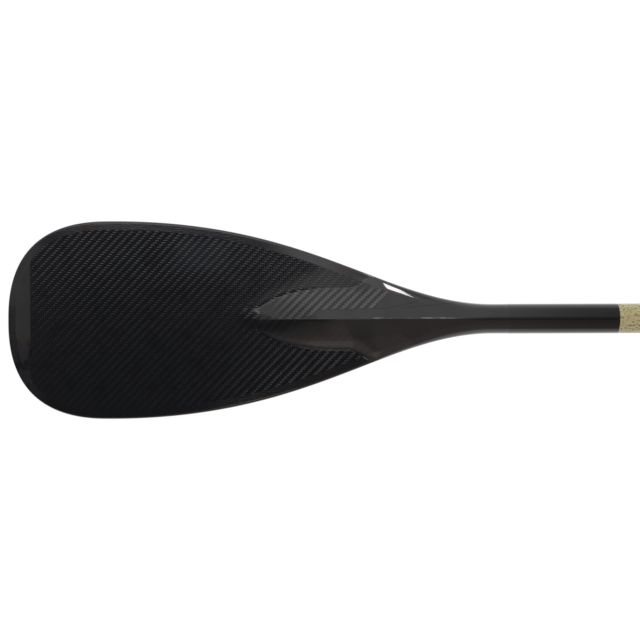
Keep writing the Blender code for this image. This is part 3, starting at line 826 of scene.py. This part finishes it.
def label_film(name):
    """Black film under gloss, faintly cloudy and rippled."""
    material, tree, shader = new_material(name)
    vector = object_vector(tree)
    colour = mix_colour(tree, noise(tree, vector, *LABEL_CLOUDS), *LABEL_TONES)
    _, along, _ = cloth_axes(tree, 1.0)
    # Painted shade: the tone darkens along the label from the neck's
    colour = mix_colour(tree, ramp(tree, along, *LABEL_SHADE_RANGE), SPINE_PLY_TONE, colour)
    paint(tree, shader, colour, LABEL_ROUGHNESS, 1.0)
    ripples = stretched_noise(tree, vector, LABEL_STRETCH, LABEL_DETAIL)
    add_bump(tree, shader, ripples, *LABEL_RELIEF)
    clear_coat(shader, LABEL_COAT_ROUGHNESS)
    return material


def speckled(name, grain, dark, light, roughness, relief):
    """A dull inner material that varies between two tones."""
    material, tree, shader = new_material(name)
    speckles = noise(tree, object_vector(tree), *grain)
    paint(tree, shader, mix_colour(tree, speckles, dark, light), roughness)
    add_bump(tree, shader, speckles, relief)
    return material


# Blade pieces, cut from the one skin
def make_blade():
    stations, points, cloth, rims, normals = blade_skin()
    columns = points.shape[1]
    face_columns = 2 * (RIM_COLUMNS + 1) + PANEL_COLUMNS - 1
    left_panel = RIM_COLUMNS
    right_panel = face_columns - 1 - RIM_COLUMNS
    tip_end = TIP_ROWS - 1
    neck_row = tip_end + PANEL_ROWS - 1

    def cut(name, rows, picked, caps=(), closed=False):
        grid = points[rows][:, picked]
        spots = cloth[rows][:, picked]
        turned = normals[rows][:, picked]
        faces = grid_faces(grid.shape[0], grid.shape[1], closed)
        return make_piece(name, grid, turned, faces, spots, caps, rims[rows][:, picked])

    whole = list(range(columns))
    tip_rows = slice(0, tip_end + 1)
    panel_rows = slice(tip_end, neck_row + 1)
    neck_rows = slice(neck_row, len(stations))
    panel_face = list(range(left_panel, right_panel + 1))
    under_right = face_columns - 1 + RIM_COLUMNS
    under_left = columns - RIM_COLUMNS
    panel_back = list(range(under_right, under_left + 1))
    left_rim = list(range(under_left, columns)) + list(range(0, left_panel + 1))
    right_rim = list(range(right_panel, under_right + 1))
    twill_face = carbon_twill("carbon_twill_face", True)
    twill_back = carbon_twill("carbon_twill_back", False)
    edge = gloss_black("edge_resin", EDGE_TONE, EDGE_STREAKS, rim_mottle_and_highlight)
    tip_resin = gloss_black("tip_resin", EDGE_TONE, EDGE_STREAKS, tip_dark_reflections, rim_mottle_and_highlight)
    add_piece(cut("face_skin", panel_rows, panel_face), twill_face, "carbon_twill", "blade_face_skin")
    add_piece(cut("back_skin", panel_rows, panel_back), twill_back, "carbon_twill", "blade_back_skin")
    add_piece(cut("rail_left", panel_rows, left_rim), edge, "edge_resin", "blade_rail_left")
    add_piece(cut("rail_right", panel_rows, right_rim), edge, "edge_resin", "blade_rail_right")
    tip = cut("tip_block", tip_rows, whole, [tuple(range(columns))], True)
    add_piece(tip, tip_resin, "edge_resin", "blade_tip_block")
    add_piece(cut("neck", neck_rows, whole, (), True), twill_face, "neck_gloss", "neck_sleeve")


# Round pieces along the shaft
def round_sleeve(name, start, end, radius, rows):
    x = np.linspace(start, end, rows)
    turn = np.linspace(0, 2 * pi, SHAFT_SIDES + 1)
    grid_x, grid_turn = np.meshgrid(x, turn, indexing="ij")
    out = np.stack([0 * grid_x, np.cos(grid_turn), np.sin(grid_turn)], axis=-1)
    points = np.stack([grid_x, 0 * grid_x, 0 * grid_x], axis=-1) + radius * out
    cloth = np.stack([grid_x, grid_turn * radius], axis=-1)
    turned = out @ np.array(PADDLE.to_3x3()).T
    faces = grid_faces(rows, SHAFT_SIDES + 1)
    return make_piece(name, to_world(points), turned, faces, cloth)


def make_shaft():
    label = round_sleeve("label", 0.0, LABEL_LENGTH, SHAFT_RADIUS + LABEL_STEP, LABEL_ROWS)
    add_piece(label, label_film("label_film"), "label_film", "shaft_label")
    braid = round_sleeve("braid", LABEL_LENGTH, SHAFT_LENGTH - GAP, SHAFT_RADIUS, BRAID_ROWS)
    add_piece(braid, aramid_braid("aramid_braid"), "aramid_braid", "shaft_braid")


# Palm grip
def grip_size(x):
    """Half width, half depth and squareness of the grip's sections."""
    flare = smooth_step(x, GRIP_FLARE_START, GRIP_FLARE_END)
    crown = np.maximum(0, (x - GRIP_CROWN_START) / (GRIP_LENGTH - GRIP_CROWN_START))
    width = SHAFT_RADIUS + (GRIP_WIDTH / 2 - SHAFT_RADIUS) * flare ** GRIP_FLARE_POWER
    depth = SHAFT_RADIUS + (GRIP_DEPTH / 2 - SHAFT_RADIUS) * flare
    power = GRIP_CROWN_POWER
    width = width * np.maximum(0, 1 - crown ** power) ** (1 / power)
    depth = depth * np.sqrt(np.maximum(0, 1 - crown ** 2))
    return width, depth, 1 - (1 - GRIP_SQUARENESS) * flare


def make_grip():
    turns = np.linspace(0, pi / 2, GRIP_ROWS)
    x = GAP + (GRIP_LENGTH - GAP) * GRIP_CROWN_CLOSE * np.sin(turns)
    width, depth, square = grip_size(x)
    turn = np.linspace(0, 2 * pi, GRIP_SIDES, endpoint=False)
    flat = np.cos(turn)[None, :]
    tall = np.sin(turn)[None, :]
    power = square[:, None]
    y = width[:, None] * np.abs(flat) ** power * np.sign(flat)
    z = depth[:, None] * np.abs(tall) ** power * np.sign(tall)
    points = np.stack([SHAFT_LENGTH + x[:, None] + 0 * y, y, z], axis=-1)
    world = to_world(points)
    normals = loop_normals(world)
    cloth = np.stack([x[:, None] + 0 * y, y], axis=-1)
    half = GRIP_SIDES // 2
    material = carbon_twill("grip_gloss", False)
    for name, node, picked in (
        ("grip_front", "grip_shell_front", list(range(0, half + 1))),
        ("grip_back", "grip_shell_back", list(range(half, GRIP_SIDES)) + [0]),
    ):
        grid = world[:, picked]
        faces = grid_faces(GRIP_ROWS, len(picked))
        last = (GRIP_ROWS - 1) * len(picked)
        crown = tuple(last + step for step in range(len(picked)))
        piece = make_piece(name, grid, normals[:, picked], faces, cloth[:, picked], [crown])
        add_piece(piece, material, "grip_gloss", node)


# Foam cores, finer than the CAD's so that they follow the valley beside the spine
def under_skin(points):
    """World points, with those in the blade's straight part kept under the face skin."""
    turn = np.array(PADDLE.to_3x3())
    local = (points - np.array(PADDLE.translation)) @ turn
    x = local[:, 0] + FERRULE_LENGTH + BEND_RADIUS * sin(BLADE_CANT)
    z = local[:, 2] + BEND_RADIUS * (1 - cos(BLADE_CANT))
    straight = -(x * cos(BLADE_CANT) + z * sin(BLADE_CANT))
    rise = z * cos(BLADE_CANT) - x * sin(BLADE_CANT)
    s = BEND_START - straight
    highest = surface_height(local[:, 1], s, face_spine) - SKIN_THICKNESS
    lowered = blade_points(s, local[:, 1], np.minimum(rise, highest))
    return to_world(np.where((straight > 0)[:, None], lowered, local))


def make_cores(foam):
    for name, node in (("core_left", "blade_core_left"), ("core_right", "blade_core_right")):
        shape = bmesh.new()
        shape.from_mesh(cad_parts[node].data)
        bmesh.ops.remove_doubles(shape, verts=shape.verts[:], dist=WELD_DISTANCE)
        bmesh.ops.triangulate(shape, faces=shape.faces[:])
        bmesh.ops.subdivide_edges(shape, edges=shape.edges[:], cuts=CORE_CUTS, use_grid_fill=True)
        points = under_skin(np.array([vertex.co for vertex in shape.verts]))
        for vertex, point in zip(shape.verts, points):
            vertex.co = point
        mesh = bpy.data.meshes.new(name)
        shape.to_mesh(mesh)
        shape.free()
        item = bpy.data.objects.new(name, mesh)
        bpy.context.scene.collection.objects.link(item)
        add_piece(item, foam, "foam", node)


# Other inner pieces keep their CAD shapes
def paint_inner_nodes(foam):
    glue = speckled("bond_adhesive", **ADHESIVE)
    resin = gloss_black("socket_resin", EDGE_TONE, EDGE_STREAKS)
    plain = gloss_black("one_way_carbon", ONE_WAY_TONE, ONE_WAY_STREAKS)
    looks = {
        foam: ("neck_core", "blade_spigot_plug", "shaft_top_plug", "grip_core"),
        glue: ("blade_spigot_bond", "grip_bond"),
        resin: ("blade_spigot_socket",),
        plain: ("blade_spar", "blade_spigot", "shaft_tube", "grip_spigot"),
    }
    for material, names in looks.items():
        for name in names:
            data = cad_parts[name].data
            data.materials.clear()
            data.materials.append(material)


# Camera and floor
PIXEL_SIZE = SHAFT_DIAMETER / SHAFT_PIXELS
CAMERA_DISTANCE = PIXEL_SIZE * FOCAL_PIXELS
CLIP_RANGE = (0.01, 50)
FLOOR_REACH = 8.0
FLOOR_DROP = 0.0005
FLOOR_WHITE = 0.95
FLOOR_SHADOW_SHARE = 0.1
FLOOR_TONE = (0.82, 0.82, 0.82)

# Tones of the room and the ranges between which its parts change. Those named SWING are in
# degrees from straight up, and the others are in the direction's X
CEILING_LEFT = (0.108, 0.113, 0.131)
CEILING_RIGHT = (0.235, 0.23, 0.23)
CEILING_TURN = (-0.33, 0.10)
CEILING_RISE = (0.25, 0.255, 0.275)
CEILING_RISE_SWING = (1.0, 14.0)
CEILING_RISE_SIDE = (-0.27, -0.33)
BLOTCH_TONE = (0.34, 0.37, 0.43)
BLOTCH_X = -0.405
BLOTCH_REACH = (0.032, 0.006)
BLOTCH_SWING = 3.4
BLOTCH_SWING_REACH = (1.3, 0.3)
# The side glow's left edge slants with the swing, up to the swing given
SIDE_GLOW = (1.00, 0.98, 1.00)
SIDE_GLOW_SLANT = -0.03
SIDE_GLOW_SLANT_SWING = 2.5
SIDE_GLOW_LEFT = (-0.406, -0.376)
SIDE_GLOW_RIGHT = (-0.22, -0.28)
SIDE_GLOW_SWING = (0.3, 1.3)
NEAR_LEFT = (0.30, 0.285, 0.28)
NEAR_RIGHT = (0.41, 0.37, 0.355)
NEAR_TURN = (-0.45, -0.27)
NEAR_START_SWING = (17.0, 4.0)
NEAR_FULL_SWING = (36.0, 22.0)
NEAR_LOW = (0.48, 0.425, 0.405)
NEAR_LOW_SWING = (38.0, 54.0)
NEAR_STRIP = (0.66, 0.63, 0.61)
NEAR_STRIP_SWING = (52.0, 60.0)
NEAR_STRIP_LEFT = (-0.44, -0.38)
NEAR_STRIP_RIGHT = (-0.12, -0.20)
WHITE_TONE = (1.0, 1.0, 1.0)
NEAR_WHITE_SWING = (75.0, 110.0)
BOX_FAR = (0.72, 0.70, 0.71)
BOX_LEFT = (1.00, 0.98, 0.985)
BOX_RIGHT = (0.95, 0.93, 0.93)
BOX_LEFT_TURN = (-0.55, -0.45)
BOX_RIGHT_TURN = (-0.30, -0.20)
BOX_FADE = (0.12, 0.30, 1.0, 0.4)
# The box's slanting edges: degrees for each unit of X, degrees where X is 0, and the limit
BOX_LOW_EDGE = (-25.0, 1.25, 13.0)
BOX_HIGH_EDGE = (12.5, 20.4, 15.0)
WINDOW_TONE = (2.2, 2.2, 2.24)
WINDOW_HIGH_TONE = (1.5, 1.5, 1.52)
WINDOW_TONE_SWING = (14.0, 16.0)
WINDOW_LOW_SWING = (12.0, 12.8)
WINDOW_HIGH_SWING = (19.0, 16.0)
WINDOW_LEFT = (-0.545, -0.515)
WINDOW_RIGHT = (-0.30, -0.33)
NEAR_WINDOW_TONE = (1.6, 1.57, 1.58)
NEAR_WINDOW_START_SWING = (11.0, 12.5)
NEAR_WINDOW_END_SWING = (16.5, 15.0)
NEAR_WINDOW_LEFT = (-0.38, -0.345)
NEAR_WINDOW_RIGHT = (-0.27, -0.30)
TIP_WALL_TONE = (0.48, 0.46, 0.465)
TIP_WALL_START = (-0.555, -0.575)
TIP_WALL_SWING = (14.0, 8.0)
TIP_WALL_SHADE = (0.22, 0.215, 0.23)
TIP_SHADE_START = (-0.622, -0.632)
TIP_SHADE_SWING = (1.6, 0.8)
TIP_SHADE_NEAR_SWING = (-0.8, -2.2)
FILL_TONE = (2.2, 2.2, 2.2)
FILL_START = (0.38, 0.55)
# In the direction's Z
HORIZON = (0.04, -0.02)

# Strip lamp beside the blade's left shoulder, in the paddle's own frame
STRIP_PLACE = (-0.090, 0.165, 0.075)
STRIP_TARGET = (-0.090, 0.022, 0.010)
STRIP_WIDTH = 0.044
STRIP_HEIGHT = 0.050
STRIP_RADIANCE = 14.0


def make_strip_lamp():
    data = bpy.data.lights.new("strip_lamp", "AREA")
    data.shape = "RECTANGLE"
    data.size = STRIP_WIDTH
    data.size_y = STRIP_HEIGHT
    data.energy = STRIP_RADIANCE * STRIP_WIDTH * STRIP_HEIGHT * pi
    lamp = bpy.data.objects.new("strip_lamp", data)
    bpy.context.scene.collection.objects.link(lamp)
    lamp.visible_camera = False
    away = Vector(STRIP_PLACE) - Vector(STRIP_TARGET)
    turn = away.to_track_quat("Z", "Y").to_matrix().to_4x4()
    lamp.matrix_world = PADDLE @ Matrix.Translation(STRIP_PLACE) @ turn


def make_camera():
    data = bpy.data.cameras.new("camera")
    data.sensor_width = SENSOR_WIDTH
    data.lens = FOCAL_PIXELS / IMAGE_WIDTH * SENSOR_WIDTH
    data.clip_start, data.clip_end = CLIP_RANGE
    camera = bpy.data.objects.new("camera", data)
    bpy.context.scene.collection.objects.link(camera)
    roll = Matrix.Rotation(CAMERA_ROLL, 4, "Z")
    joint = Vector((JOINT_PIXEL_X - IMAGE_CENTRE, IMAGE_CENTRE - AXIS_PIXEL_Y, 0)) * PIXEL_SIZE
    place = Vector((0, 0, CAMERA_DISTANCE)) - roll @ joint
    camera.matrix_world = PADDLE @ Matrix.Translation(place) @ roll
    bpy.context.scene.camera = camera


def draw_ceiling(tree, x, swing):
    """A dark ceiling with a paler rise, a blotch and a bright glow at its side."""
    room = mix_colour(tree, ramp(tree, x, *CEILING_TURN), CEILING_LEFT, CEILING_RIGHT)
    rise = overlap(tree, (swing, CEILING_RISE_SWING), (x, CEILING_RISE_SIDE))
    room = mix_colour(tree, rise, room, CEILING_RISE)
    beside_x = math_node(tree, "ABSOLUTE", math_node(tree, "SUBTRACT", x, BLOTCH_X))
    beside_swing = math_node(tree, "ABSOLUTE", math_node(tree, "SUBTRACT", swing, BLOTCH_SWING))
    blotch = overlap(tree, (beside_x, BLOTCH_REACH), (beside_swing, BLOTCH_SWING_REACH))
    room = mix_colour(tree, blotch, room, BLOTCH_TONE)
    slanted = math_node(tree, "MINIMUM", swing, SIDE_GLOW_SLANT_SWING)
    slanted = math_node(tree, "MULTIPLY_ADD", slanted, SIDE_GLOW_SLANT, x)
    glow = overlap(tree, (slanted, SIDE_GLOW_LEFT), (swing, SIDE_GLOW_SWING), (x, SIDE_GLOW_RIGHT))
    return mix_colour(tree, glow, room, SIDE_GLOW)


def draw_near_walls(tree, room, x, near):
    """Pale walls on the near side, which get lighter downwards."""
    wall = mix_colour(tree, ramp(tree, x, *NEAR_TURN), NEAR_LEFT, NEAR_RIGHT)
    start = ramp(tree, x, *NEAR_TURN, *NEAR_START_SWING)
    full = ramp(tree, x, *NEAR_TURN, *NEAR_FULL_SWING)
    room = mix_colour(tree, ramp(tree, near, start, full), room, wall)
    room = mix_colour(tree, ramp(tree, near, *NEAR_LOW_SWING), room, NEAR_LOW)
    strip = overlap(tree, (near, NEAR_STRIP_SWING), (x, NEAR_STRIP_LEFT), (x, NEAR_STRIP_RIGHT))
    room = mix_colour(tree, strip, room, NEAR_STRIP)
    return mix_colour(tree, ramp(tree, near, *NEAR_WHITE_SWING), room, WHITE_TONE)


def draw_box(tree, room, x, swing):
    """The wide bright box on the far side."""
    box = mix_colour(tree, ramp(tree, x, *BOX_LEFT_TURN), BOX_FAR, BOX_LEFT)
    box = mix_colour(tree, ramp(tree, x, *BOX_RIGHT_TURN), box, BOX_RIGHT)
    slope, level, limit = BOX_LOW_EDGE
    low = math_node(tree, "MINIMUM", math_node(tree, "MULTIPLY_ADD", x, slope, level), limit)
    slope, level, limit = BOX_HIGH_EDGE
    high = math_node(tree, "MAXIMUM", math_node(tree, "MULTIPLY_ADD", x, slope, level), limit)
    share = product(tree, ramp(tree, swing, low, high), ramp(tree, x, *BOX_FADE))
    return mix_colour(tree, share, room, box)


def draw_windows(tree, room, x, swing, near):
    """A narrow window on each side, which picks out the weave."""
    window = overlap(tree, (swing, WINDOW_LOW_SWING), (swing, WINDOW_HIGH_SWING),
                     (x, WINDOW_RIGHT), (x, WINDOW_LEFT))
    pane = mix_colour(tree, ramp(tree, swing, *WINDOW_TONE_SWING), WINDOW_TONE, WINDOW_HIGH_TONE)
    room = mix_colour(tree, window, room, pane)
    window = overlap(tree, (near, NEAR_WINDOW_START_SWING), (near, NEAR_WINDOW_END_SWING),
                     (x, NEAR_WINDOW_LEFT), (x, NEAR_WINDOW_RIGHT))
    return mix_colour(tree, window, room, NEAR_WINDOW_TONE)


def draw_tip_wall(tree, room, x, swing, near):
    """A grey wall beyond the blade's tip, shaded at its far end and on the near side."""
    shade = overlap(tree, (x, TIP_SHADE_START), (swing, TIP_SHADE_SWING))
    shade = math_node(tree, "MAXIMUM", shade, ramp(tree, swing, *TIP_SHADE_NEAR_SWING))
    wall = mix_colour(tree, shade, TIP_WALL_TONE, TIP_WALL_SHADE)
    share = overlap(tree, (x, TIP_WALL_START), (near, TIP_WALL_SWING), (swing, TIP_WALL_SWING))
    return mix_colour(tree, share, room, wall)


def make_world():
    """Soft studio room, drawn by the swing from straight up towards +Y and by the X of a direction.

    Near is the same swing towards -Y. Each part is drawn over those before it.
    """
    world = bpy.data.worlds.new("studio")
    bpy.context.scene.world = world
    world.use_nodes = True
    tree = world.node_tree
    coordinates = tree.nodes.new("ShaderNodeTexCoord")
    x, y, z = split_axes(tree, coordinates.outputs["Generated"])
    swing = product(tree, math_node(tree, "ARCTAN2", y, z), 180 / pi)
    near = product(tree, swing, -1.0)
    room = draw_ceiling(tree, x, swing)
    room = draw_near_walls(tree, room, x, near)
    room = draw_box(tree, room, x, swing)
    room = draw_windows(tree, room, x, swing, near)
    room = draw_tip_wall(tree, room, x, swing, near)
    room = mix_colour(tree, ramp(tree, x, *FILL_START), room, FILL_TONE)
    room = mix_colour(tree, ramp(tree, z, *HORIZON), room, WHITE_TONE)
    tree.links.new(room, tree.nodes["Background"].inputs["Color"])


def make_floor():
    """A pale floor that looks white to the camera and in reflections, with faint shadows."""
    mesh = bpy.data.meshes.new("floor")
    corners = [(x * FLOOR_REACH, y * FLOOR_REACH, 0) for x, y in ((-1, -1), (1, -1), (1, 1), (-1, 1))]
    mesh.from_pydata(corners, [], [(0, 1, 2, 3)])
    floor = bpy.data.objects.new("floor", mesh)
    bpy.context.scene.collection.objects.link(floor)
    floor.location.z = -FLOOR_DROP
    material = bpy.data.materials.new("pale_floor")
    material.use_nodes = True
    tree = material.node_tree
    tree.nodes.clear()
    output = tree.nodes.new("ShaderNodeOutputMaterial")
    path = tree.nodes.new("ShaderNodeLightPath")
    seen = math_node(tree, "MAXIMUM", path.outputs["Is Camera Ray"], path.outputs["Is Glossy Ray"])
    seen = math_node(tree, "MAXIMUM", seen, path.outputs["Is Transmission Ray"])
    grey = mix_colour(tree, seen, FLOOR_TONE, (FLOOR_SHADOW_SHARE,) * 3)
    diffuse = tree.nodes.new("ShaderNodeBsdfDiffuse")
    tree.links.new(grey, diffuse.inputs["Color"])
    glow = tree.nodes.new("ShaderNodeEmission")
    tree.links.new(product(tree, seen, FLOOR_WHITE), glow.inputs["Strength"])
    both = tree.nodes.new("ShaderNodeAddShader")
    tree.links.new(diffuse.outputs[0], both.inputs[0])
    tree.links.new(glow.outputs[0], both.inputs[1])
    tree.links.new(both.outputs[0], output.inputs[0])
    mesh.materials.append(material)


make_blade()
make_shaft()
make_grip()
core_foam = speckled("core_foam", **FOAM)
make_cores(core_foam)
paint_inner_nodes(core_foam)
make_camera()
make_world()
make_strip_lamp()
make_floor()
bpy.context.scene.view_settings.view_transform = "Standard"
